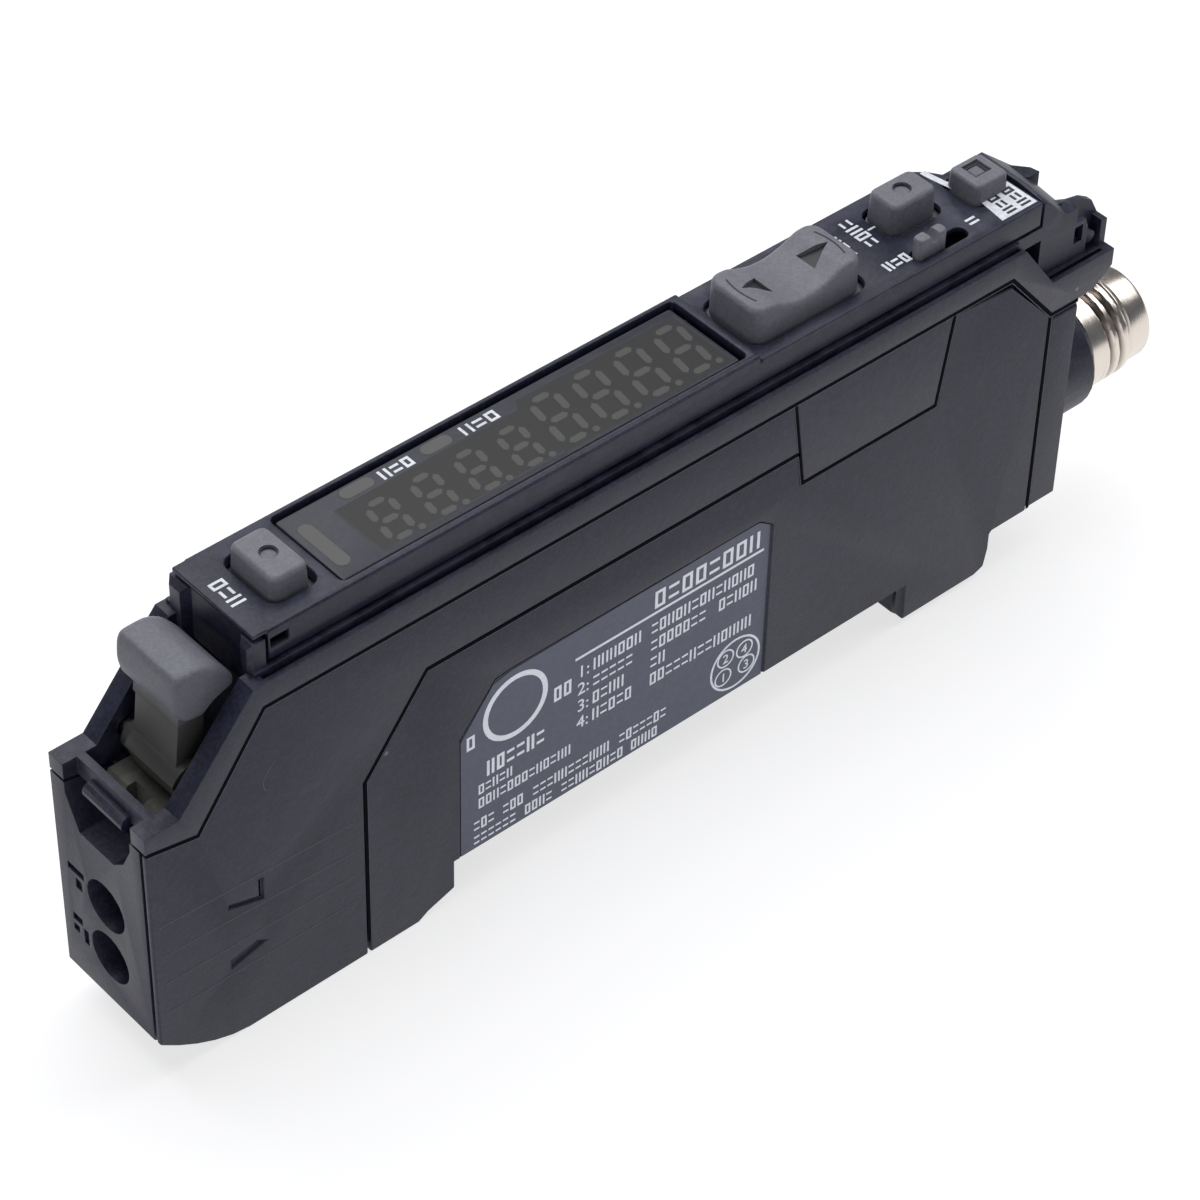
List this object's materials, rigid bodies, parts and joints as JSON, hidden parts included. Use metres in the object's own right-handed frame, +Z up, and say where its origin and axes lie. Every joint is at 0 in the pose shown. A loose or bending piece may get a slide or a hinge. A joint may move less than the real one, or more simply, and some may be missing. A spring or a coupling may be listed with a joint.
{
  "type": "fibre optic sensor amplifier",
  "caption": "Slim rail-mounted fibre optic sensor amplifier with display, push buttons, rocker, selector, fibre lock lever, sprung rail claw and round plug connector.",
  "frame": {"origin": "under the middle of the overall length and width, on the plane that the feet stand on", "axes": "+X from the fibre face to the plug, +Y away from the side with the covers and the label recess, +Z up through the panel"},
  "size_m": [0.0904, 0.0098, 0.0342],
  "materials": {
    "case_plastic": "fine moulded grain, blue-black",
    "frame_plastic": "smooth moulded, blue-black",
    "button_grey": "smooth moulded, mid grey",
    "window_smoke": "smoked acrylic",
    "clamp_cream": "natural acetal",
    "nickel": "nickel-plated brass, satin",
    "steel": "bright wire and pin",
    "gold": "gold-plated contact",
    "board_green": "coated circuit board",
    "switch_black": "moulded switch body",
    "lens_clear": "clear moulded resin",
    "insert_black": "glass-filled nylon"
  },
  "bodies": {
    "housing": {"main_case": "case_plastic", "nose_cover": "case_plastic", "side_plate": "case_plastic", "expansion_cover": "case_plastic", "rear_case": "case_plastic", "top_frame": "frame_plastic", "panel_cover": "frame_plastic", "display_window": "window_smoke", "plug_sleeve": "nickel", "lever_pin": "steel", "clamp_spring": "steel", "claw_spring": "steel", "contact_pin_1": "gold", "contact_pin_2": "gold", "contact_pin_3": "gold", "contact_pin_4": "gold", "front_board": "board_green", "main_board": "board_green", "display_module": "switch_black", "set_switch": "switch_black", "down_switch": "switch_black", "up_switch": "switch_black", "mode_switch": "switch_black", "preset_switch": "switch_black", "slide_switch": "switch_black", "emitter_element": "lens_clear", "receiver_element": "lens_clear", "optics_holder": "insert_black", "board_header": "insert_black", "expansion_connector": "insert_black", "plug_insert": "insert_black"},
    "lever": {"fibre_lever": "button_grey"},
    "clamp": {"fibre_clamp": "clamp_cream"},
    "set": {"set_button": "button_grey"},
    "rocker": {"rocker_button": "button_grey"},
    "mode": {"mode_button": "button_grey"},
    "preset": {"preset_button": "button_grey"},
    "selector": {"select_slider": "button_grey"},
    "claw": {"rail_claw": "insert_black"}
  },
  "joints": [
    {"name": "lever_tilt", "type": "hinge", "parent": "housing", "child": "lever", "pos_m": [-0.04025, 0, 0.0222], "axis": [0, -1, 0], "range_deg": [0, 70]},
    {"name": "clamp_slide", "type": "slide", "parent": "housing", "child": "clamp", "axis": [0, 0, 1], "range_m": [0, 0.0004], "deforming": ["clamp_spring"]},
    {"name": "set_press", "type": "slide", "parent": "housing", "child": "set", "axis": [0, 0, -1], "range_m": [0, 0.0002], "stiffness_N_per_m": 2000},
    {"name": "rocker_tilt", "type": "hinge", "parent": "housing", "child": "rocker", "pos_m": [0.01087, 0, 0.0305], "axis": [0, 1, 0], "range_deg": [-2.2, 2.2], "stiffness_Nm_per_rad": 0.1},
    {"name": "mode_press", "type": "slide", "parent": "housing", "child": "mode", "axis": [0, 0, -1], "range_m": [0, 0.0002], "stiffness_N_per_m": 2000},
    {"name": "preset_press", "type": "slide", "parent": "housing", "child": "preset", "axis": [0, 0, -1], "range_m": [0, 0.0002], "stiffness_N_per_m": 2000},
    {"name": "select_slide", "type": "slide", "parent": "housing", "child": "selector", "axis": [1, 0, 0], "range_m": [0, 0.0019]},
    {"name": "claw_slide", "type": "slide", "parent": "housing", "child": "claw", "axis": [-1, 0, 0], "range_m": [0, 0.002], "stiffness_N_per_m": 2000, "deforming": ["claw_spring"]}
  ],
  "couplings": [
    {"joint": "lever_tilt", "follows": "clamp_slide", "rad_per_m": 3054.3}
  ]
}
